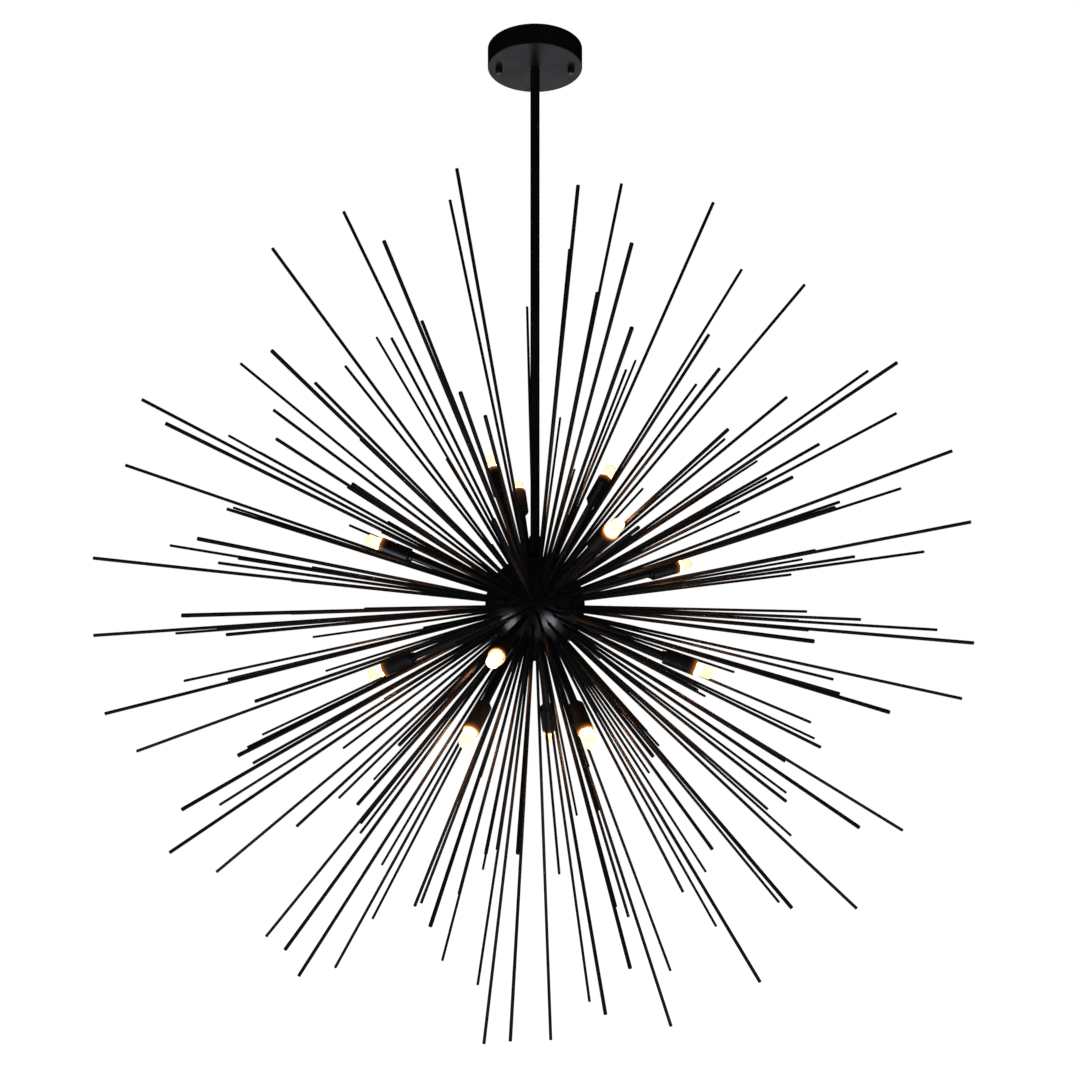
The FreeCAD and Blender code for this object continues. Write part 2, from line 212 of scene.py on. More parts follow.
def frozen(piece: bpy.types.Object) -> bpy.types.Object:
    """Keep what an object's modifiers make as its own plain mesh.

    Args:
        piece: The object.

    Returns:
        The same object, without its modifiers.
    """
    graph = bpy.context.evaluated_depsgraph_get()
    made = bpy.data.meshes.new_from_object(piece.evaluated_get(graph), preserve_all_data_layers=True,
                                           depsgraph=graph)
    piece.modifiers.clear()
    made.name = piece.name
    piece.data = made
    return piece


class Paint(Graph):
    """A material around one Principled shader, patterned in Object coordinates."""

    def __init__(self, name: str, constants: Mapping[str, object]) -> None:
        """Make the material.

        Args:
            name: Name of the material.
            constants: Values for the shader's own sockets.
        """
        self.material = bpy.data.materials.new(name)
        self.material.use_nodes = True
        super().__init__(self.material.node_tree)
        self.tree.nodes.clear()
        self.shader = self.add("ShaderNodeBsdfPrincipled", constants)
        self.add("ShaderNodeOutputMaterial", {"Surface": self.shader.outputs[0]})
        self.place = self.out("ShaderNodeTexCoord", output="Object")

    def warmth(self) -> Socket:
        """Warmth that the mesh carries, from 0 to 1."""
        return self.out("ShaderNodeAttribute", output="Fac", attribute_name=Trait.WARMTH.value)

    def noise(self, size: float, detail: float = 2.0, stretch: Colour = EVEN) -> Socket:
        """Cloudy pattern from 0 to 1, by its rough size, its finer layers and its stretch along each axis."""
        scaled = self.out("ShaderNodeMapping", {"Vector": self.place, "Scale": stretch})
        return self.out("ShaderNodeTexNoise", {"Vector": scaled, "Scale": 1.0 / size, "Detail": detail})

    def spread(self, value: Socket, span: Point, to: Point = WHOLE) -> Socket:
        """Map one range of numbers to another, held at both ends."""
        return self.out("ShaderNodeMapRange", {"Value": value, "From Min": span[0], "From Max": span[1],
                                               "To Min": to[0], "To Max": to[1]})

    def blend(self, factor: Socket, one: Colour | Socket, other: Colour) -> Socket:
        """Mix two colours, from the first where the factor is 0 to the other where it is 1."""
        first = one if isinstance(one, Socket) else (*one, 1.0)
        return self.out("ShaderNodeMix", {0: factor, 6: first, 7: (*other, 1.0)}, 2, data_type="RGBA")

    def feed(self, socket: str, output: Socket) -> None:
        """Drive one of the shader's sockets with a pattern."""
        self.tree.links.new(output, self.shader.inputs[socket])

    def relief(self, height: Socket, depth: float) -> None:
        """Raise the surface by a pattern from 0 to 1, where 1 stands out by the depth."""
        bump = {"Height": height, "Strength": 1.0, "Distance": depth}
        self.feed("Normal", self.out("ShaderNodeBump", bump))


@dataclass(frozen=True)
class Skin:
    """A surface with cloudy colour, uneven gloss and a fine relief."""

    name: str
    colour: Colour
    shade: Colour
    roughness: Point
    reflection: float = 0.4
    metallic: float = 0.0
    cloud: float = 0.010
    cloud_detail: float = 3.0
    cloud_span: Point = WHOLE
    stretch: Colour = EVEN
    grain: float = 0.0005
    grain_detail: float = 2.0
    grain_stretch: Colour = EVEN
    depth: float = 0.00001

    def material(self) -> bpy.types.Material:
        """Make the finish."""
        return self.paint().material

    def paint(self) -> Paint:
        """Lay the surface's own pattern.

        Returns:
            The paint, for a finish that adds to it.
        """
        paint = Paint(self.name, {"Specular IOR Level": self.reflection, "Metallic": self.metallic})
        cloud = paint.noise(self.cloud, self.cloud_detail, self.stretch)
        paint.feed("Base Color", paint.blend(paint.spread(cloud, self.cloud_span), self.colour, self.shade))
        paint.feed("Roughness", paint.spread(cloud, CLOUDS, self.roughness))
        paint.relief(paint.noise(self.grain, self.grain_detail, self.grain_stretch), self.depth)
        return paint


@dataclass(frozen=True)
class Coat(Skin):
    """Black paint on metal, with a fine orange peel."""

    colour: Colour = (0.0020, 0.0020, 0.0023)
    shade: Colour = (0.0045, 0.0044, 0.0046)
    roughness: Point = (0.32, 0.44)
    reflection: float = 0.25
    cloud: float = 0.030
    cloud_detail: float = 4.0
    grain: float = 0.0011
    depth: float = 0.00002


@dataclass(frozen=True)
class CoatWithPaintedGlow(Coat):
    """The same paint on a lamp cup, with a warm painted glow towards the cup's mouth that stands in for the bulb's
    light on it.
    """

    # painted glow of the bulb's light: its colour from dim at its edge to bright at the mouth, its strength and
    # how fast it falls off
    ember: Colour = (0.7, 0.16, 0.03)
    glow: Colour = (1.0, 0.36, 0.06)
    strength: float = 0.70
    fall: float = 4.0

    def material(self) -> bpy.types.Material:
        """Make the finish.

        Returns:
            The material.
        """
        paint = self.paint()
        # painted glow: emission that stands in for the bulb's light on the cup, strongest at the mouth
        painted_glow = paint.math("POWER", paint.warmth(), self.fall)
        paint.feed("Emission Color", paint.blend(painted_glow, self.ember, self.glow))
        paint.feed("Emission Strength", paint.math("MULTIPLY", painted_glow, self.strength))
        return paint.material


@dataclass(frozen=True)
class Metal(Skin):
    """Plated or plain metal with a fine grain and uneven tarnish."""

    roughness: Point = (0.24, 0.42)
    reflection: float = 0.5
    metallic: float = 0.6
    cloud: float = 0.006
    cloud_detail: float = 4.0
    cloud_span: Point = (0.35, 0.75)
    grain: float = 0.0007
    grain_detail: float = 1.0
    grain_stretch: Colour = (1.0, 6.0, 1.0)


@dataclass(frozen=True)
class LitGlass:
    """Clear glass of a lit bulb, faintly amber towards its foot."""

    name: str
    clear: Colour = (1.0, 0.94, 0.86)
    amber: Colour = (1.0, 0.84, 0.60)
    glow: Colour = (1.0, 0.42, 0.10)
    strength: float = 0.16
    bend: float = 1.45
    swirl: float = 0.008
    roughness: Point = (0.0, 0.05)

    def material(self) -> bpy.types.Material:
        """Make the finish.

        Returns:
            The material.
        """
        paint = Paint(self.name, {"Transmission Weight": 1.0, "IOR": self.bend,
                                  "Emission Color": (*self.glow, 1.0)})
        warmth = paint.warmth()
        paint.feed("Base Color", paint.blend(warmth, self.clear, self.amber))
        paint.feed("Emission Strength", paint.math("MULTIPLY", warmth, self.strength))
        paint.feed("Roughness", paint.spread(paint.noise(self.swirl), CLOUDS, self.roughness))
        return paint.material


@dataclass(frozen=True)
class Haze:
    """Bright haze on the inside of a lit bulb: amber at the cup, cream, clearing to peach at the nose."""

    name: str
    soot: Colour = (0.05, 0.04, 0.03)
    ember: Colour = (1.0, 0.56, 0.17)
    cream: Colour = (1.0, 0.95, 0.82)
    peach: Colour = (1.0, 0.72, 0.46)
    foot_span: Point = (0.78, 1.05)
    nose_span: Point = (0.05, 0.40)
    strength: Point = (0.884, 1.196)
    cover: Point = (0.12, 0.92)
    cover_span: Point = (0.10, 0.50)
    mottle: float = 0.0035
    unevenness: float = 0.14

    def material(self) -> bpy.types.Material:
        """Make the finish.

        Returns:
            The material.
        """
        paint = Paint(self.name, {"Base Color": (*self.soot, 1.0), "Roughness": 0.8,
                                  "Specular IOR Level": 0.0})
        swing = (-self.unevenness, self.unevenness)
        mottle = paint.spread(paint.noise(self.mottle, 3.0), CLOUDS, swing)
        drifting = paint.math("ADD", paint.warmth(), mottle)
        nose = paint.blend(paint.spread(drifting, self.nose_span), self.peach, self.cream)
        paint.feed("Emission Color", paint.blend(paint.spread(drifting, self.foot_span), nose, self.ember))
        paint.feed("Emission Strength", paint.spread(mottle, swing, self.strength))
        paint.feed("Alpha", paint.spread(drifting, self.cover_span, self.cover))
        return paint.material


@dataclass(frozen=True)
class LitWire:
    """Glowing filament wire, hottest in the middle of its coil."""

    name: str
    metal: Colour = (0.30, 0.28, 0.26)
    colour: Colour = (1.0, 0.72, 0.36)
    hot: Colour = (1.0, 0.93, 0.78)
    strength: Point = (4.0, 9.0)

    def material(self) -> bpy.types.Material:
        """Make the finish.

        Returns:
            The material.
        """
        paint = Paint(self.name, {"Base Color": (*self.metal, 1.0), "Metallic": 1.0, "Roughness": 0.4})
        warmth = paint.warmth()
        paint.feed("Emission Color", paint.blend(warmth, self.colour, self.hot))
        paint.feed("Emission Strength", paint.spread(warmth, WHOLE, self.strength))
        return paint.material


class Wardrobe:
    """Every finish of the chandelier, each made once."""

    def __init__(self) -> None:
        """Make the finishes for the record's slots, and the filament's."""
        finishes = {
            Slot.SATIN_BLACK: Coat("satin_black_powder_coat", colour=(0.0012, 0.0012, 0.0014),
                                   shade=(0.0030, 0.0030, 0.0031), depth=0.00001, stretch=(1.0, 1.0, 0.25)),
            Slot.HUB_BLACK: Coat("hub_semi_gloss_black", colour=(0.0020, 0.0020, 0.0028),
                                 roughness=(0.20, 0.30), reflection=0.45),
            Slot.ROD_BLACK: Coat("rod_satin_black", colour=(0.0035, 0.0033, 0.0031),
                                 shade=(0.0060, 0.0056, 0.0052), roughness=(0.40, 0.52), cloud=0.012,
                                 depth=0.000006, reflection=0.06),
            # the cup's paint carries a painted glow of the bulb's light near its mouth
            Slot.CUP_BLACK: CoatWithPaintedGlow("cup_satin_black", cloud=0.014, reflection=0.50),
            Slot.BLACK_NUT: Coat("thumb_nut_black", cloud=0.004, roughness=(0.22, 0.36), reflection=0.40),
            Slot.ZINC_STEEL: Metal("bright_zinc_plate", (0.60, 0.61, 0.63), (0.48, 0.46, 0.40)),
            Slot.BRASS_EARTH: Metal("plain_brass", (0.76, 0.56, 0.25), (0.50, 0.34, 0.14)),
            Slot.PHENOLIC: Skin("brown_phenolic", (0.050, 0.030, 0.020), (0.030, 0.018, 0.012), (0.45, 0.65)),
            Slot.LEAD_JACKET: Skin("grey_lead_jacket", (0.045, 0.045, 0.047), (0.070, 0.069, 0.068),
                                   (0.5, 0.7)),
            Slot.CERAMIC: Skin("glazed_steatite", (0.78, 0.75, 0.69), (0.70, 0.65, 0.57), (0.2, 0.34)),
            Slot.CLEAR_GLASS: LitGlass("lit_bulb_glass"),
            Slot.LIT_CORE: Skin("pressed_glass_base", (0.82, 0.76, 0.64), (0.72, 0.62, 0.46), (0.16, 0.3)),
        }
        self.made = {slot: finish.material() for slot, finish in finishes.items()}
        self.wire = LitWire("filament_glow").material()
        self.haze = Haze("bulb_haze").material()

    def __getitem__(self, slot: Slot) -> bpy.types.Material:
        """The material for a slot."""
        return self.made[slot]

    def dress_nodes(self) -> None:
        """Give every node of the construction model the finish of its slot."""
        for row in frame["record"]["subparts"]:
            node = frame["nodes"][row["node"]]
            for place in node.material_slots:
                place.material = self[Slot(row["material_slot"])]


@dataclass(frozen=True)
class Corner:
    """One corner of a turned outline: radius, height and how far it is rounded."""

    r: float
    z: float
    round: float = 0.0


def rounded(corners: Sequence[Corner], steps: int = 5, longest: float = 0.45,
            lead: float = 1.3) -> list[Point]:
    """Round the corners of a closed outline.

    Args:
        corners: The outline, in order.
        steps: Straight pieces in each rounded corner.
        longest: Share of a side that a round may take up.
        lead: Where the point beside a round stands, as a share of the round's run.

    Returns:
        The outline's points, with one more point beside each round to hold the flats flat.
    """
    outline: list[Point] = []
    for k, corner in enumerate(corners):
        here = Vector((corner.r, corner.z))
        if corner.round <= 0.0:
            outline.append((here.x, here.y))
            continue
        back = Vector((corners[k - 1].r, corners[k - 1].z)) - here
        ahead_corner = corners[(k + 1) % len(corners)]
        ahead = Vector((ahead_corner.r, ahead_corner.z)) - here
        turn = back.angle(ahead)
        run = min(corner.round / math.tan(turn / 2), longest * back.length, longest * ahead.length)
        radius = run * math.tan(turn / 2)
        back.normalize()
        ahead.normalize()
        middle = here + (back + ahead).normalized() * (radius / math.sin(turn / 2))
        start = here + back * run - middle
        end = here + ahead * run - middle
        sweep = -start.angle_signed(end)
        outline.append(tuple(here + back * run * lead))
        for step in range(steps + 1):
            outline.append(tuple(middle + Matrix.Rotation(sweep * step / steps, 2) @ start))
        outline.append(tuple(here + ahead * run * lead))
    return outline


def turned(name: str, corners: Sequence[Corner], sides: int) -> bpy.types.Mesh:
    """Make a closed mesh of revolution about +Z.

    Args:
        name: Name of the mesh.
        corners: Its outline, which may touch the axis.
        sides: Faces round the axis.

    Returns:
        The mesh, smooth but for its sharp edges.
    """
    build = bmesh.new()
    rings = []
    for radius, height in rounded(corners):
        if radius < TINY:
            rings.append([build.verts.new((0.0, 0.0, height))])
            continue
        turns = [2 * math.pi * k / sides for k in range(sides)]
        rings.append([build.verts.new((radius * math.cos(a), radius * math.sin(a), height))
                      for a in turns])
    for one, other in zip(rings, rings[1:] + rings[:1]):
        if len(one) == len(other) == 1:
            continue
        for k in range(sides):
            after = (k + 1) % sides
            near = (one[k % len(one)], one[after % len(one)])
            far = (other[after % len(other)], other[k % len(other)])
            build.faces.new(list(dict.fromkeys(near + far)))
    bmesh.ops.remove_doubles(build, verts=build.verts, dist=TINY)
    bmesh.ops.recalc_face_normals(build, faces=build.faces)
    mesh = bpy.data.meshes.new(name)
    build.to_mesh(mesh)
    build.free()
    return softened(mesh)


def softened(mesh: bpy.types.Mesh, angle: float = 32.0) -> bpy.types.Mesh:
    """Shade a mesh smooth except across its sharp edges.

    Args:
        mesh: The mesh.
        angle: Degrees from which an edge counts as sharp.

    Returns:
        The same mesh.
    """
    mesh.polygons.foreach_set("use_smooth", [True] * len(mesh.polygons))
    mesh.set_sharp_from_angle(angle=math.radians(angle))
    return mesh


def marked(mesh: bpy.types.Mesh, rule: Callable[[Vector], float]) -> bpy.types.Mesh:
    """Store the warmth at each point of a mesh.

    Args:
        mesh: The mesh.
        rule: The warmth of a point, from 0 to 1.

    Returns:
        The same mesh.
    """
    layer = mesh.attributes.new(Trait.WARMTH.value, "FLOAT", "POINT")
    layer.data.foreach_set("value", [rule(vertex.co) for vertex in mesh.vertices])
    return mesh


def rising(value: float, start: float, end: float) -> float:
    """Go from 0 at the start to 1 at the end, and stay in between."""
    return min(1.0, max(0.0, (value - start) / (end - start)))


def placed(mesh: bpy.types.Mesh, name: str) -> bpy.types.Object:
    """Put a mesh in the scene as an unturned object at the origin.

    Args:
        mesh: The mesh.
        name: Name of the new object.

    Returns:
        The object.
    """
    piece = bpy.data.objects.new(name, mesh)
    bpy.context.scene.collection.objects.link(piece)
    return piece


def joined(name: str, pieces: Sequence[bpy.types.Object]) -> bpy.types.Object:
    """Join several objects into one.

    Args:
        name: Name of the joined object.
        pieces: The objects, which the joined one takes in.

    Returns:
        The joined object.
    """
    with bpy.context.temp_override(active_object=pieces[0], selected_editable_objects=list(pieces)):
        bpy.ops.object.join()
    pieces[0].name = name
    return pieces[0]


def kept(piece: bpy.types.Object, body: str, slot: Slot, *nodes: str) -> bpy.types.Object:
    """Ride a finished piece on its body in place of the nodes that it stands for.

    Args:
        piece: The finished piece.
        body: Body that it moves with.
        slot: Not used.
        *nodes: Nodes that it replaces.

    Returns:
        The same piece.
    """
    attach(piece, body)
    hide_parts(*nodes)
    log.info("%s: %d faces on %s, for %s", piece.name, len(piece.data.polygons), body, ", ".join(nodes))
    return piece


@dataclass
class Skeleton:
    """What the frame says of the hub, the lamps and the rods."""

    centre: Vector = field(init=False)
    lamps: dict[str, Vector] = field(init=False)

    def __post_init__(self) -> None:
        """Read the hub's centre and each lamp's direction."""
        low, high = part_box("splice_housing")
        self.centre = (low + high) / 2
        self.lamps = {joint["child"]: Vector(joint["axis"]).normalized() for joint in frame["joints"]
                      if joint["child"].startswith("bulb_")}

    def points(self, node: str) -> np.ndarray:
        """Read the points of a node.

        Args:
            node: The node.

        Returns:
            Its points, measured from the hub's centre.
        """
        mesh = frame["nodes"][node].data
        flat = np.zeros(len(mesh.vertices) * 3)
        mesh.vertices.foreach_get("co", flat)
        return flat.reshape(-1, 3) - np.array(self.centre)

    def span(self, node: str, near: float = 0.02) -> tuple[float, float, float]:
        """Measure a lamp's piece along the first lamp's direction.

        Args:
            node: Node that holds the piece, alone or in a group.
            near: How far from the lamp's axis the piece may reach.

        Returns:
            Where it starts and ends, from the hub's centre, and its largest radius.
        """
        axis = np.array(next(iter(self.lamps.values())))
        points = self.points(node)
        along = points @ axis
        aside = np.linalg.norm(points - along[:, None] * axis, axis=1)
        mine = (aside < near) & (along > 0)
        return float(along[mine].min()), float(along[mine].max()), float(aside[mine].max())

    def rods(self, node: str) -> tuple[list[tuple[Vector, float]], float]:
        """Find the rods of a group by their outer ends.

        Args:
            node: Node that holds a group of rods of one length.

        Returns:
            Each rod's direction with the distance of its tip from the hub's centre, and
            the radius of a rod.
        """
        points = self.points(node)
        distance = np.linalg.norm(points, axis=1)
        reach = float(distance.max())
        ends = points[distance > reach - RodField.nose]
        found: list[tuple[Vector, float]] = []
        radius = 0.0
        while len(ends):
            mine = np.linalg.norm(ends - ends[0], axis=1) < RodField.apart
            middle = ends[mine].mean(axis=0)
            way = middle / np.linalg.norm(middle)
            aside = ends[mine] - (ends[mine] @ way)[:, None] * way
            radius = max(radius, float(np.linalg.norm(aside, axis=1).max()))
            found.append((Vector(way), reach))
            ends = ends[~mine]
        return found, radius

    def aim(self, direction: Vector) -> Matrix:
        """Move that takes a shape made along +Z to a direction out of the hub."""
        return Matrix.Translation(self.centre) @ UP.rotation_difference(direction).to_matrix().to_4x4()

    def seed(self, name: str, spokes: Sequence[tuple[Vector, float]]) -> bpy.types.Object:
        """Make points at the hub's centre that carry directions and lengths for a recipe.

        Args:
            name: Name of the new object.
            spokes: Each point's direction and length.

        Returns:
            The object.
        """
        mesh = bpy.data.meshes.new(name)
        mesh.from_pydata([tuple(self.centre)] * len(spokes), [], [])
        heading = mesh.attributes.new(Trait.SPOKE.value, "FLOAT_VECTOR", "POINT")
        heading.data.foreach_set("vector", [value for spoke, _ in spokes for value in spoke])
        reach = mesh.attributes.new(Trait.REACH.value, "FLOAT", "POINT")
        reach.data.foreach_set("value", [length for _, length in spokes])
        return placed(mesh, name)


def helix_recipe(name: str, steps: int = 18) -> Recipe:
    """Round or edged wire wound in a helix about +Z, added to the piece that it is wound on.

    Args:
        name: Name of the tree.
        steps: Straight pieces in one turn.

    Returns:
        The recipe.
    """
    tree = Recipe(name, Turns="Float", Radius="Float", Height="Float", Wire="Float", Sides="Int",
                  Foot="Vector")
    given = tree.given
    path = tree.out("GeometryNodeCurveSpiral",
                    {"Resolution": steps, "Rotations": given["Turns"], "Start Radius": given["Radius"],
                     "End Radius": given["Radius"], "Height": given["Height"]})
    seat = tree.out("GeometryNodeTransform", {"Geometry": path, "Translation": given["Foot"]})
    section = tree.out("GeometryNodeCurvePrimitiveCircle",
                       {"Resolution": given["Sides"], "Radius": given["Wire"]})
    wire = tree.out("GeometryNodeCurveToMesh", {"Curve": seat, "Profile Curve": section, "Fill Caps": True})
    tree.finish(given["Geometry"], wire)
    return tree


@dataclass
class RodField:
    """The long and short rods, each a round bar with a softly rounded end."""

    skeleton: Skeleton
    wardrobe: Wardrobe
    nose: float = 0.0005
    apart: float = 0.006
    sides: int = 12
    nose_rings: int = 4

    def recipe(self) -> Recipe:
        """Rods that stand on the hub's centre and point along their own directions.

        Returns:
            The recipe.
        """
        tree = Recipe("rods_from_directions", Root="Float", Radius="Float", Nose="Float", Sides="Int",
                      Rings="Int")
        given = tree.given
        spoke = tree.trait(Trait.SPOKE, "FLOAT_VECTOR")
        turn = tree.facing(spoke)
        radius = given["Radius"]
        straight_end = tree.math("SUBTRACT", tree.trait(Trait.REACH, "FLOAT"), given["Nose"])
        length = tree.math("SUBTRACT", straight_end, given["Root"])
        feet = self.moved(tree, given["Geometry"], spoke, given["Root"])
        tube = tree.out("GeometryNodeMeshCylinder",
                        {"Vertices": given["Sides"], "Radius": radius, "Depth": 1.0}, fill_type="NONE")
        lifted = tree.out("GeometryNodeTransform", {"Geometry": tube, "Translation": UP / 2})
        stretch = tree.out("ShaderNodeCombineXYZ", {"X": 1.0, "Y": 1.0, "Z": length})
        bars = tree.out("GeometryNodeInstanceOnPoints",
                        {"Points": feet, "Instance": lifted, "Rotation": turn, "Scale": stretch})
        tips = self.moved(tree, feet, spoke, length)
        ball = tree.out("GeometryNodeMeshUVSphere",
                        {"Segments": given["Sides"], "Rings": given["Rings"], "Radius": 1.0})
        flat = tree.out("ShaderNodeCombineXYZ", {"X": radius, "Y": radius, "Z": given["Nose"]})
        squeezed = tree.out("GeometryNodeTransform", {"Geometry": ball, "Scale": flat})
        height = tree.out("ShaderNodeSeparateXYZ", {0: tree.out("GeometryNodeInputPosition")}, "Z")
        below = tree.out("FunctionNodeCompare", {0: height, 1: -TINY}, operation="LESS_THAN")
        dome = tree.out("GeometryNodeDeleteGeometry", {"Geometry": squeezed, "Selection": below})
        ends = tree.out("GeometryNodeInstanceOnPoints", {"Points": tips, "Instance": dome, "Rotation": turn})
        tree.finish(bars, ends)
        return tree

    @staticmethod
    def moved(tree: Recipe, points: Socket, spoke: Socket, distance: Socket) -> Socket:
        """Move points along their own directions by a distance."""
        step = tree.out("ShaderNodeVectorMath", {0: spoke, "Scale": distance}, operation="SCALE")
        return tree.out("GeometryNodeSetPosition", {"Geometry": points, "Offset": step})

    def build(self) -> None:
        """Make each group of rods in place of its node."""
        recipe = self.recipe()
        for node in ("long_rods_upper", "long_rods_lower", "short_rods_upper", "short_rods_lower"):
            rods, radius = self.skeleton.rods(node)
            root = float(np.linalg.norm(self.skeleton.points(node), axis=1).min())
            piece = recipe.cook(self.skeleton.seed(node + "_dressed", rods), self.wardrobe[Slot.ROD_BLACK],
                                Root=root, Radius=radius, Nose=self.nose, Sides=self.sides,
                                Rings=self.nose_rings)
            kept(piece, Body.FIXTURE.value, Slot.ROD_BLACK, node)


@dataclass
class Lamps:
    """Twelve lamps: an arm, a black cup, and a lit glass capsule in each."""

    skeleton: Skeleton
    wardrobe: Wardrobe
    cup_wall: float = 0.0012
    cup_lip: float = 0.0005
    cup_sides: int = 40
    shoulder: float = 0.0012
    neck_length: float = 0.005
    neck_radius: float = 0.007
    # rings cut into the cup for the painted glow of the bulb's light, and how far from the mouth that painted glow
    # reaches
    painted_glow_rings: tuple[float, ...] = (0.60, 0.70, 0.80, 0.87, 0.94)
    painted_glow_reach: float = 0.014
    arm_wall: float = 0.0015
    arm_reach: float = 0.008
    arm_sides: int = 32
    glass_wall: float = 0.0008
    glass_foot: float = 0.0022
    glass_sides: int = 36
    foot_share: float = 0.72
    seal_radius: float = 0.0012
    seal_height: float = 0.0006
    haze_gap: float = 0.0004
    haze_share: float = 0.80
    clearing: float = 0.026
    wire: float = 0.0004
    wire_sides: int = 8
    coil_turns: float = 11.0
    coil_radius: float = 0.0016
    coil_end: float = 0.001
    post_height: float = 0.009
    post_radius: float = 0.0008
    tip_share: float = 0.4
    pin_length: float = 0.006
    pin_diameter: float = 0.0011
    pin_spacing: float = 0.009
    pin_grip: float = 0.001
    pin_sides: int = 16
    base_width: float = 0.013
    base_depth: float = 0.006
    base_round: float = 0.0012
    base_steps: int = 4
    light_power: float = 5.2
    light_size: float = 0.007
    light_height: float = 0.020
    light_colour: Colour = (1.0, 0.42, 0.18)

    def recipe(self) -> Recipe:
        """Copies of one piece along every lamp's direction.

        Returns:
            The recipe.
        """
        tree = Recipe("piece_on_each_lamp", Piece="Object")
        shape = tree.out("GeometryNodeObjectInfo", {"Object": tree.given["Piece"]}, "Geometry")
        turn = tree.facing(tree.trait(Trait.SPOKE, "FLOAT_VECTOR"))
        tree.finish(tree.out("GeometryNodeInstanceOnPoints",
                             {"Points": tree.given["Geometry"], "Instance": shape, "Rotation": turn}))
        return tree

    def cup(self) -> bpy.types.Mesh:
        """Make one cup along +Z: stepped neck, rounded shoulder, straight wall and a soft lip.

        Returns:
            The mesh, marked with the strength of the painted glow of the bulb's light near its mouth.
        """
        start, end, radius = self.skeleton.span("lamp_cups")
        bore = self.skeleton.span("lamp_arms", self.arm_reach)[2]
        floor = start + self.neck_length
        inner = radius - self.cup_wall
        mesh = turned("cup", [
            Corner(bore, start), Corner(self.neck_radius, start, EDGE),
            Corner(self.neck_radius, floor, EDGE), Corner(radius, floor, self.shoulder),
            Corner(radius, end, self.cup_lip), Corner(inner, end, self.cup_lip),
            Corner(inner, floor + self.cup_wall, EDGE), Corner(bore, floor + self.cup_wall)], self.cup_sides)
        ringed = bmesh.new()
        ringed.from_mesh(mesh)
        # extra rings, so that the painted glow fades smoothly along the cup
        for share in self.painted_glow_rings:
            level = floor + (end - floor) * share
            everything = ringed.verts[:] + ringed.edges[:] + ringed.faces[:]
            bmesh.ops.bisect_plane(ringed, geom=everything, plane_co=(0, 0, level), plane_no=UP)
        ringed.to_mesh(mesh)
        ringed.free()
        # painted glow: 0 short of the mouth, rising to 1 at the mouth
        return marked(softened(mesh), lambda at: rising(at.z, end - self.painted_glow_reach, end))

    def arm(self) -> bpy.types.Mesh:
        """Make one arm along +Z, a tube from inside the hub into the cup.

        Returns:
            The mesh.
        """
        start, end, radius = self.skeleton.span("lamp_arms", self.arm_reach)
        bore = radius - self.arm_wall
        mesh = turned("arm", [Corner(bore, start), Corner(radius, start, EDGE),
                              Corner(radius, end, EDGE), Corner(bore, end)], self.arm_sides)
        return marked(mesh, lambda at: 0.0)

    def glass(self) -> bpy.types.Mesh:
        """Make one glass capsule along +Z, with the bright haze inside it.

        Returns:
            The mesh, marked with a warmth that clears towards the nose.
        """
        start, end, radius = self.skeleton.span("bulb_01_glass")
        inner = radius - self.glass_wall
        nose = end - self.seal_height
        shoulder = end - radius
        floor = start + 2 * self.glass_wall
        wall = turned("wall", [
            Corner(0.0, start), Corner(radius * self.foot_share, start, self.glass_foot / 2),
            Corner(radius, start + self.glass_foot, self.glass_foot),
            *self.dome(shoulder, radius, nose - shoulder),
            Corner(self.seal_radius, nose + self.seal_height / 2, EDGE), Corner(0.0, end),
            Corner(0.0, nose - self.glass_wall),
            *reversed(self.dome(shoulder, inner, nose - self.glass_wall - shoulder)),
            Corner(inner, floor + self.glass_foot, self.glass_foot / 2),
            Corner(inner * self.foot_share, floor, self.glass_foot / 2),
            Corner(0.0, floor)], self.glass_sides)
        wall.materials.append(self.wardrobe[Slot.CLEAR_GLASS])
        bright = inner * self.haze_share
        low = floor + self.haze_gap
        high = nose - self.glass_wall - self.haze_gap
        haze = turned("haze", [
            Corner(0.0, low), Corner(bright * self.foot_share, low, self.glass_foot / 2),
            Corner(bright, low + self.glass_foot, self.glass_foot / 2),
            *self.dome(shoulder, bright, high - shoulder), Corner(0.0, high)], self.glass_sides)
        haze.materials.append(self.wardrobe.haze)
        capsule = joined("capsule", [placed(wall, "wall"), placed(haze, "haze")])
        mesh = marked(capsule.data, lambda at: 1.0 - rising(at.z, end - self.clearing, end))
        bpy.data.objects.remove(capsule)
        return mesh

    @staticmethod
    def dome(foot: float, radius: float, height: float, steps: int = 9, short: float = 0.6) -> list[Corner]:
        """Outline of a dome that starts at a height, from its foot to a part of a step short of the axis."""
        turns = [math.pi / 2 * k / (steps + short) for k in range(steps + 1)]
        return [Corner(radius * math.cos(turn), foot + height * math.sin(turn)) for turn in turns]

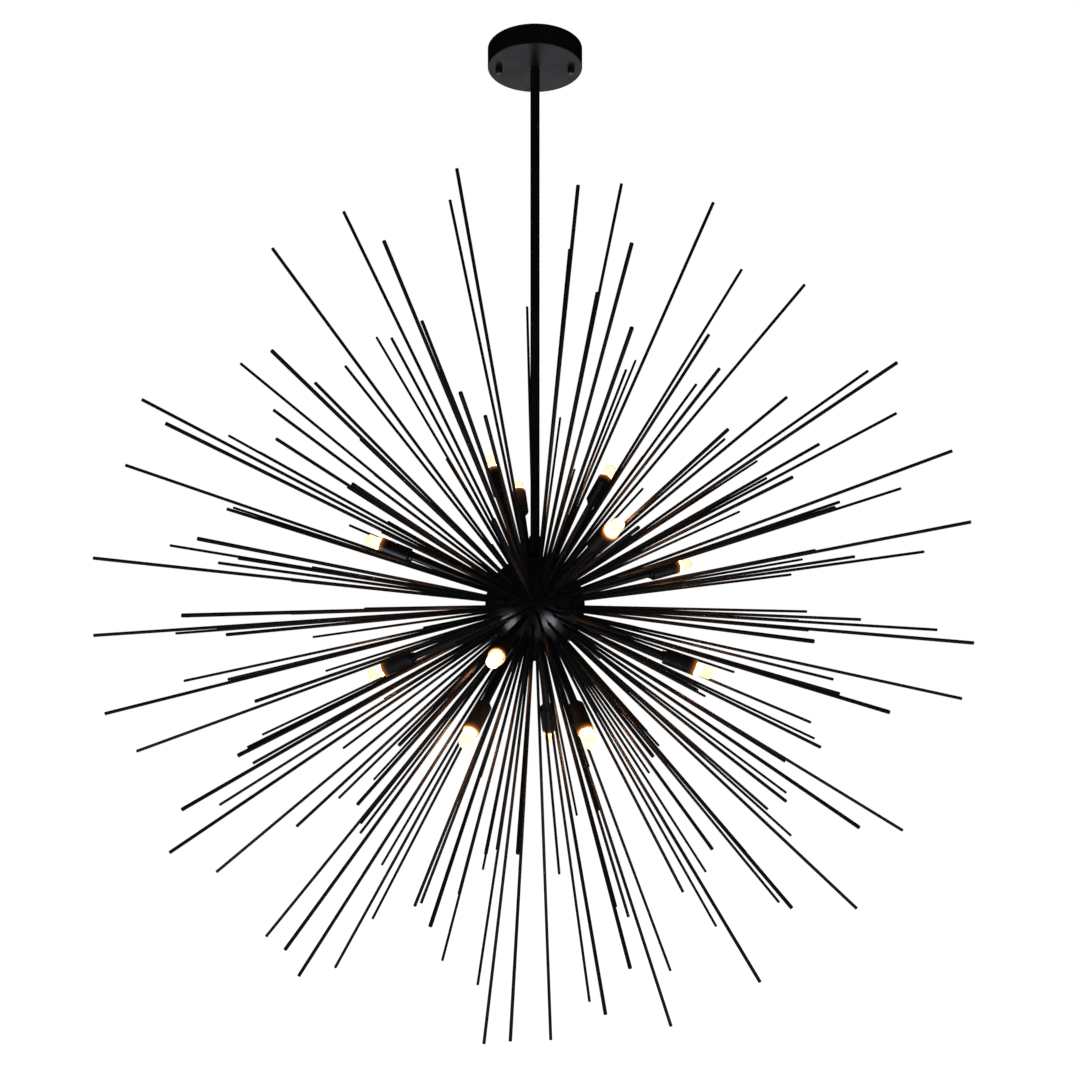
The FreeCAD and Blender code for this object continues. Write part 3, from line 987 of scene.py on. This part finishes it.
    def core(self) -> bpy.types.Mesh:
        """Make one bulb's inside along +Z: pressed base, two pins, post and glowing coil.

        Returns:
            The mesh, marked with the warmth of the coil.
        """
        start, end, _ = self.skeleton.span("bulb_01_core")
        foot = self.skeleton.span("bulb_01_glass")[0]
        base_low = start + self.pin_length
        parts = [placed(self.slab(base_low, foot), "base")]
        for side in (-1, 1):
            pin = turned("pin", [
                Corner(0.0, start), Corner(self.pin_diameter / 2, start, EDGE),
                Corner(self.pin_diameter / 2, base_low + self.pin_grip),
                Corner(0.0, base_low + self.pin_grip)], self.pin_sides)
            pin.transform(Matrix.Translation((side * self.pin_spacing / 2, 0.0, 0.0)))
            pin.materials.append(self.wardrobe[Slot.ZINC_STEEL])
            parts.append(placed(pin, "pin"))
        low = foot + self.glass_wall
        coil_low = low + self.post_height
        tip = self.post_radius * self.tip_share
        post = turned("post", [
            Corner(0.0, low), Corner(self.post_radius, low, EDGE),
            Corner(tip, coil_low - self.coil_end, EDGE), Corner(tip, end, EDGE), Corner(0.0, end)],
            self.pin_sides)
        parts.append(helix_recipe("wound_filament").cook(
            placed(post, "filament"), self.wardrobe.wire, Turns=self.coil_turns,
            Radius=self.coil_radius - self.wire, Height=end - coil_low - self.coil_end, Wire=self.wire,
            Sides=self.wire_sides, Foot=(0.0, 0.0, coil_low)))
        whole = joined("bulb_core", parts)
        mesh = marked(softened(whole.data), lambda at: 1.0 - abs(2 * rising(at.z, coil_low, end) - 1.0))
        bpy.data.objects.remove(whole)
        return mesh

    def slab(self, low: float, high: float) -> bpy.types.Mesh:
        """Pressed base: a block with rounded edges.

        Args:
            low: Height of its lower face.
            high: Height of its upper face.

        Returns:
            The mesh.
        """
        build = bmesh.new()
        bmesh.ops.create_cube(build, size=1.0)
        bmesh.ops.scale(build, vec=(self.base_width, self.base_depth, high - low), verts=build.verts)
        bmesh.ops.translate(build, vec=(0.0, 0.0, (low + high) / 2), verts=build.verts)
        bmesh.ops.bevel(build, geom=build.edges[:], offset=self.base_round, segments=self.base_steps,
                        profile=0.5, affect="EDGES")
        mesh = bpy.data.meshes.new("base")
        build.to_mesh(mesh)
        build.free()
        mesh.materials.append(self.wardrobe[Slot.LIT_CORE])
        return softened(mesh)

    def build(self) -> None:
        """Make the cups and arms for all lamps, and each bulb on its own body."""
        recipe = self.recipe()
        spokes = [(direction, 1.0) for direction in self.skeleton.lamps.values()]
        for node, shape in (("lamp_cups", self.cup()), ("lamp_arms", self.arm())):
            pattern = placed(shape, node + "_pattern")
            piece = recipe.cook(self.skeleton.seed(node + "_dressed", spokes),
                                self.wardrobe[Slot.CUP_BLACK], Piece=pattern)
            bpy.data.objects.remove(pattern)
            softened(piece.data)
            kept(piece, Body.FIXTURE.value, Slot.CUP_BLACK, node)
        glass = self.glass()
        core = self.core()
        for body, direction in self.skeleton.lamps.items():
            self.bulb(body, direction, glass, core)

    def bulb(self, body: str, direction: Vector, glass: bpy.types.Mesh, core: bpy.types.Mesh) -> None:
        """Make one bulb and the light in it.

        Args:
            body: Body that the bulb moves with.
            direction: The lamp's direction out of the hub.
            glass: The glass along +Z, copied for this bulb.
            core: The base and filament along +Z, copied for this bulb.
        """
        aim = self.skeleton.aim(direction)
        for shape, name, slot, node in ((glass, body + "_capsule", Slot.CLEAR_GLASS, body + "_glass"),
                                        (core, body + "_filament", Slot.LIT_CORE, body + "_core")):
            mesh = shape.copy()
            mesh.transform(aim)
            piece = placed(mesh, name)
            piece.visible_shadow = False
            kept(piece, body, slot, node)
        start = self.skeleton.span("bulb_01_glass")[0]
        lamp = bpy.data.lights.new(body + "_light", "POINT")
        lamp.energy = self.light_power
        lamp.color = self.light_colour
        lamp.shadow_soft_size = self.light_size
        light = bpy.data.objects.new(body + "_light", lamp)
        light.location = aim @ Vector((0.0, 0.0, start + self.light_height))
        light.visible_camera = False
        light.visible_glossy = False
        bpy.context.scene.collection.objects.link(light)
        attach(light, body)


@dataclass
class CeilingSet:
    """Canopy, thumb nuts, studs and nipple, which hold the chandelier to the ceiling."""

    wardrobe: Wardrobe
    sides: int = 96
    wall: float = 0.0015
    press: float = 0.0010
    stem_gap: float = 0.0003
    stud_hole: float = 0.0023
    hole_sides: int = 32
    nut_sides: int = 48
    rim_height: float = 0.0022
    rim_step: float = 0.0006
    rim_round: float = 0.0007
    rib: float = 0.00028
    rib_sides: int = 6
    ribs: int = 30
    bore: float = 0.00205
    floor: float = 0.002
    stud_sides: int = 24
    stud_pitch: float = 0.0007
    nipple_sides: int = 40
    nipple_pitch: float = 0.0010
    nipple_bore: float = 0.0035
    ridge_share: float = 0.42
    ridge_sides: int = 4
    plain_end: float = 0.0006

    def build(self) -> None:
        """Make each piece in place of its node."""
        self.canopy()
        knurl = self.knurl_recipe()
        self.thumb_nut(knurl, Body.NUT_LEFT, "thumb_nut_left")
        self.thumb_nut(knurl, Body.NUT_RIGHT, "thumb_nut_right")
        thread = helix_recipe("thread_on_a_rod")
        self.studs(thread)
        self.nipple(thread)

    def canopy(self) -> None:
        """Pressed round cover: straight side, crisp corner, flat face with its three holes."""
        low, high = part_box("canopy")
        radius = high.x
        inner = radius - self.wall
        floor = low.z + self.wall
        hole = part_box("stem")[1].x + self.stem_gap
        mesh = turned("canopy", [
            Corner(hole, low.z, EDGE), Corner(radius, low.z, self.press),
            Corner(radius, high.z, EDGE), Corner(inner, high.z, EDGE),
            Corner(inner, floor, self.press / 2), Corner(hole, floor, EDGE)], self.sides)
        piece = placed(mesh, "canopy_pressed")
        punch = self.punch(low.z, floor)
        cut = piece.modifiers.new("stud_holes", "BOOLEAN")
        cut.object = punch
        cut.solver = "EXACT"
        softened(frozen(piece).data)
        piece.data.materials.clear()
        piece.data.materials.append(self.wardrobe[Slot.SATIN_BLACK])
        bpy.data.objects.remove(punch)
        kept(piece, Body.CANOPY.value, Slot.SATIN_BLACK, "canopy")

    def punch(self, low: float, high: float) -> bpy.types.Object:
        """Two upright bars that cut the holes for the studs.

        Args:
            low: Height of the face's underside.
            high: Height of its upper side.

        Returns:
            The cutting object.
        """
        overrun = self.wall
        bars = []
        for node in ("thumb_nut_left", "thumb_nut_right"):
            bar = turned(node + "_hole", [
                Corner(0.0, low - overrun), Corner(self.stud_hole, low - overrun),
                Corner(self.stud_hole, high + overrun), Corner(0.0, high + overrun)], self.hole_sides)
            bar.transform(Matrix.Translation((self.middle(node).x, 0.0, 0.0)))
            bars.append(placed(bar, node + "_hole"))
        return joined("stud_holes", bars)

    @staticmethod
    def middle(node: str) -> Vector:
        """Middle of a node's box."""
        low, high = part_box(node)
        return (low + high) / 2

    def knurl_recipe(self) -> Recipe:
        """Upright ribs in a ring, added to the piece that they stand on.

        Returns:
            The recipe.
        """
        tree = Recipe("ribs_round_a_nut", Count="Int", Ring="Float", Rib="Float", Sides="Int", Height="Float",
                      Middle="Vector")
        given = tree.given
        ring = tree.out("GeometryNodeMeshCircle", {"Vertices": given["Count"], "Radius": given["Ring"]})
        seat = tree.out("GeometryNodeTransform", {"Geometry": ring, "Translation": given["Middle"]})
        bar = tree.out("GeometryNodeMeshCylinder",
                       {"Vertices": given["Sides"], "Radius": given["Rib"], "Depth": given["Height"]})
        tree.finish(given["Geometry"],
                    tree.out("GeometryNodeInstanceOnPoints", {"Points": seat, "Instance": bar}))
        return tree

    def thumb_nut(self, knurl: Recipe, body: Body, node: str) -> None:
        """Round nut with a ribbed side, a smooth stepped rim and a blind bore.

        Args:
            knurl: Recipe for its ribs.
            body: Body that it turns with.
            node: Node that it replaces.
        """
        low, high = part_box(node)
        at = self.middle(node)
        radius = (high.x - low.x) / 2
        step = low.z + self.rim_height
        rim = radius - self.rim_step
        core = radius - self.rib
        mesh = turned(node, [
            Corner(0.0, low.z), Corner(rim, low.z, self.rim_round), Corner(rim, step),
            Corner(core, step, EDGE), Corner(core, high.z, EDGE), Corner(self.bore, high.z, EDGE),
            Corner(self.bore, low.z + self.floor), Corner(0.0, low.z + self.floor)], self.nut_sides)
        mesh.transform(Matrix.Translation((at.x, at.y, 0.0)))
        piece = knurl.cook(placed(mesh, node + "_ribbed"), self.wardrobe[Slot.BLACK_NUT], Count=self.ribs,
                           Ring=core, Rib=self.rib, Sides=self.rib_sides,
                           Height=high.z - step - 2 * self.rim_step, Middle=(at.x, at.y, (high.z + step) / 2))
        softened(piece.data)
        kept(piece, body.value, Slot.BLACK_NUT, node)

    def studs(self, thread: Recipe) -> None:
        """Make both threaded studs, from the strap into the thumb nuts.

        Args:
            thread: Recipe for their threads.
        """
        low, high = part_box("strap_studs")
        radius = (high.y - low.y) / 2
        ridge = self.stud_pitch * self.ridge_share
        core = radius - ridge
        studs = []
        for node in ("thumb_nut_left", "thumb_nut_right"):
            at = self.middle(node)
            mesh = turned(node + "_stud", [
                Corner(0.0, low.z), Corner(core, low.z, EDGE), Corner(core, high.z, EDGE),
                Corner(0.0, high.z)], self.stud_sides)
            mesh.transform(Matrix.Translation((at.x, at.y, 0.0)))
            studs.append(self.threaded(thread, mesh, core, ridge, self.stud_pitch, (low.z, high.z)))
        kept(joined("studs_threaded", studs), Body.FIXTURE.value, Slot.ZINC_STEEL, "strap_studs")

    def nipple(self, thread: Recipe) -> None:
        """Make the hollow threaded nipple that carries the stem.

        Args:
            thread: Recipe for its thread.
        """
        low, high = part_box("stem_nipple")
        ridge = self.nipple_pitch * self.ridge_share
        core = high.x - ridge
        mesh = turned("nipple_threaded", [
            Corner(self.nipple_bore, low.z, EDGE), Corner(core, low.z, EDGE),
            Corner(core, high.z, EDGE), Corner(self.nipple_bore, high.z, EDGE)], self.nipple_sides)
        piece = self.threaded(thread, mesh, core, ridge, self.nipple_pitch, (low.z, high.z))
        kept(piece, Body.FIXTURE.value, Slot.ZINC_STEEL, "stem_nipple")

    def threaded(self, thread: Recipe, mesh: bpy.types.Mesh, core: float, ridge: float, pitch: float,
                 span: Point) -> bpy.types.Object:
        """Wind a thread on a round bar.

        Args:
            thread: Recipe for the thread.
            mesh: The bar, upright, at its place.
            core: Radius of the bar.
            ridge: How far the thread stands out of it.
            pitch: Height of one turn.
            span: Heights of the bar's ends.

        Returns:
            The threaded bar.
        """
        xs = [vertex.co.x for vertex in mesh.vertices]
        height = span[1] - span[0] - 2 * self.plain_end
        piece = thread.cook(placed(mesh, mesh.name), self.wardrobe[Slot.ZINC_STEEL], Turns=height / pitch,
                            Radius=core, Height=height, Wire=ridge, Sides=self.ridge_sides,
                            Foot=((min(xs) + max(xs)) / 2, 0.0, span[0] + self.plain_end))
        softened(piece.data)
        return piece


@dataclass(frozen=True)
class Panel:
    """A soft light: where it hangs from the hub, its size, and its power in watts."""

    name: str
    towards: Colour
    distance: float
    width: float
    height: float
    power: float


@dataclass
class Studio:
    """The white backdrop, the floor, the soft lights and the photograph's camera."""

    skeleton: Skeleton
    frame_px: float = 1080.0
    axis_px: float = 535.0
    horizon_px: float = 618.1
    distance: float = 1.505
    eye_drop: float = 0.0178
    lens: float = 35.2
    ambient: float = 0.65
    floor_drop: float = 6.0
    floor_size: float = 40.0
    floor_glow: float = 0.55
    room_radius: float = 8.0
    room_rim: float = -0.10
    room_lift: float = 0.02
    room_steps: int = 12
    panel_tint: Colour = (0.86, 0.90, 1.0)
    panels: tuple[Panel, ...] = (
        Panel("left_low_box", (-0.80, -0.32, -0.51), 2.2, 1.3, 1.0, 24.0),
        Panel("right_low_box", (0.50, -0.64, -0.57), 2.2, 1.2, 1.0, 22.0),
        Panel("right_low_veil", (0.50, -0.35, -0.79), 2.0, 2.0, 2.0, 6.5),
        Panel("back_glow", (0.0, 0.966, -0.258), 3.1, 2.4, 1.4, 10.0),
    )

    def camera(self) -> None:
        """Stand the camera where the photograph was taken from."""
        data = bpy.data.cameras.new("photograph_camera")
        data.lens = self.lens
        data.shift_x = (self.frame_px / 2 - self.axis_px) / self.frame_px
        data.shift_y = (self.horizon_px - self.frame_px / 2) / self.frame_px
        eye = bpy.data.objects.new("photograph_camera", data)
        eye.location = self.skeleton.centre - Vector((0.0, self.distance, self.eye_drop))
        eye.rotation_euler = (math.pi / 2, 0.0, 0.0)
        bpy.context.scene.collection.objects.link(eye)
        bpy.context.scene.camera = eye

    @staticmethod
    def seen(graph: Graph) -> Socket:
        """Tell the rays that see the backdrop itself.

        Args:
            graph: Tree that gets the nodes.

        Returns:
            Output that is 1 for rays from the camera, or by way of gloss or glass.
        """
        path = graph.add("ShaderNodeLightPath").outputs
        gloss = graph.math("MAXIMUM", path["Is Glossy Ray"], path["Is Transmission Ray"])
        return graph.math("MAXIMUM", path["Is Camera Ray"], gloss)

    def backdrop(self) -> None:
        """White world that the camera sees at full strength."""
        world = bpy.data.worlds.new("white_backdrop")
        world.use_nodes = True
        graph = Graph(world.node_tree)
        graph.tree.nodes.clear()
        strength = graph.out("ShaderNodeMapRange", {"Value": self.seen(graph), "To Min": self.ambient})
        white = graph.out("ShaderNodeBackground", {"Color": (1.0, 1.0, 1.0, 1.0), "Strength": strength})
        graph.add("ShaderNodeOutputWorld", {"Surface": white})
        bpy.context.scene.world = world

    def floor(self) -> None:
        """Pale floor far below, which takes the object's shadow."""
        half = self.floor_size / 2
        corners = ((-half, -half), (half, -half), (half, half), (-half, half))
        mesh = bpy.data.meshes.new("studio_floor")
        mesh.from_pydata([(x, y, -self.floor_drop) for x, y in corners], [], [(0, 1, 2, 3)])
        paint = Paint("pale_floor", {"Base Color": (0.8, 0.8, 0.8, 1.0), "Roughness": 0.9,
                                     "Emission Color": (1.0, 1.0, 1.0, 1.0)})
        paint.feed("Emission Strength", paint.math("MULTIPLY", self.seen(paint), self.floor_glow))
        mesh.materials.append(paint.material)
        placed(mesh, "studio_floor")

    def dark_room(self) -> None:
        """Closed black room, which only gloss shows, so that black paint stays black."""
        rim = self.room_radius * self.room_rim
        turns = [math.pi / 2 * k / self.room_steps for k in range(self.room_steps)]
        ground = -self.floor_drop + self.room_lift - self.skeleton.centre.z
        dome = [Corner(self.room_radius * math.cos(turn), rim + self.room_radius * math.sin(turn))
                for turn in turns]
        mesh = turned("dark_room", [
            Corner(0.0, ground), Corner(self.room_radius, ground), *dome,
            Corner(0.0, rim + self.room_radius)], self.room_steps * 4)
        mesh.transform(Matrix.Translation(self.skeleton.centre))
        paint = Paint("black_felt", {"Base Color": (0.004, 0.004, 0.004, 1.0), "Roughness": 1.0,
                                     "Specular IOR Level": 0.0})
        mesh.materials.append(paint.material)
        room = placed(mesh, "dark_room")
        for ray in ("camera", "diffuse", "transmission", "volume_scatter", "shadow"):
            setattr(room, "visible_" + ray, False)

    def hang(self, panel: Panel) -> None:
        """Hang one soft light that points at the hub.

        Args:
            panel: The light.
        """
        data = bpy.data.lights.new(panel.name, "AREA")
        data.shape = "RECTANGLE"
        data.size = panel.width
        data.size_y = panel.height
        data.energy = panel.power
        data.color = self.panel_tint
        light = bpy.data.objects.new(panel.name, data)
        way = Vector(panel.towards).normalized()
        light.location = self.skeleton.centre + way * panel.distance
        light.rotation_euler = (-way).to_track_quat("-Z", "Y").to_euler()
        light.visible_camera = False
        bpy.context.scene.collection.objects.link(light)

    def build(self) -> None:
        """Set the whole studio."""
        bpy.context.scene.view_settings.view_transform = "Standard"
        self.camera()
        self.backdrop()
        self.floor()
        self.dark_room()
        for panel in self.panels:
            self.hang(panel)


def main() -> None:
    """Dress the chandelier and set the studio around it."""
    logging.basicConfig(level=logging.INFO, format="%(name)s: %(message)s")
    skeleton = Skeleton()
    wardrobe = Wardrobe()
    wardrobe.dress_nodes()
    CeilingSet(wardrobe).build()
    RodField(skeleton, wardrobe).build()
    Lamps(skeleton, wardrobe).build()
    Studio(skeleton).build()


if __name__ == "__main__":
    main()
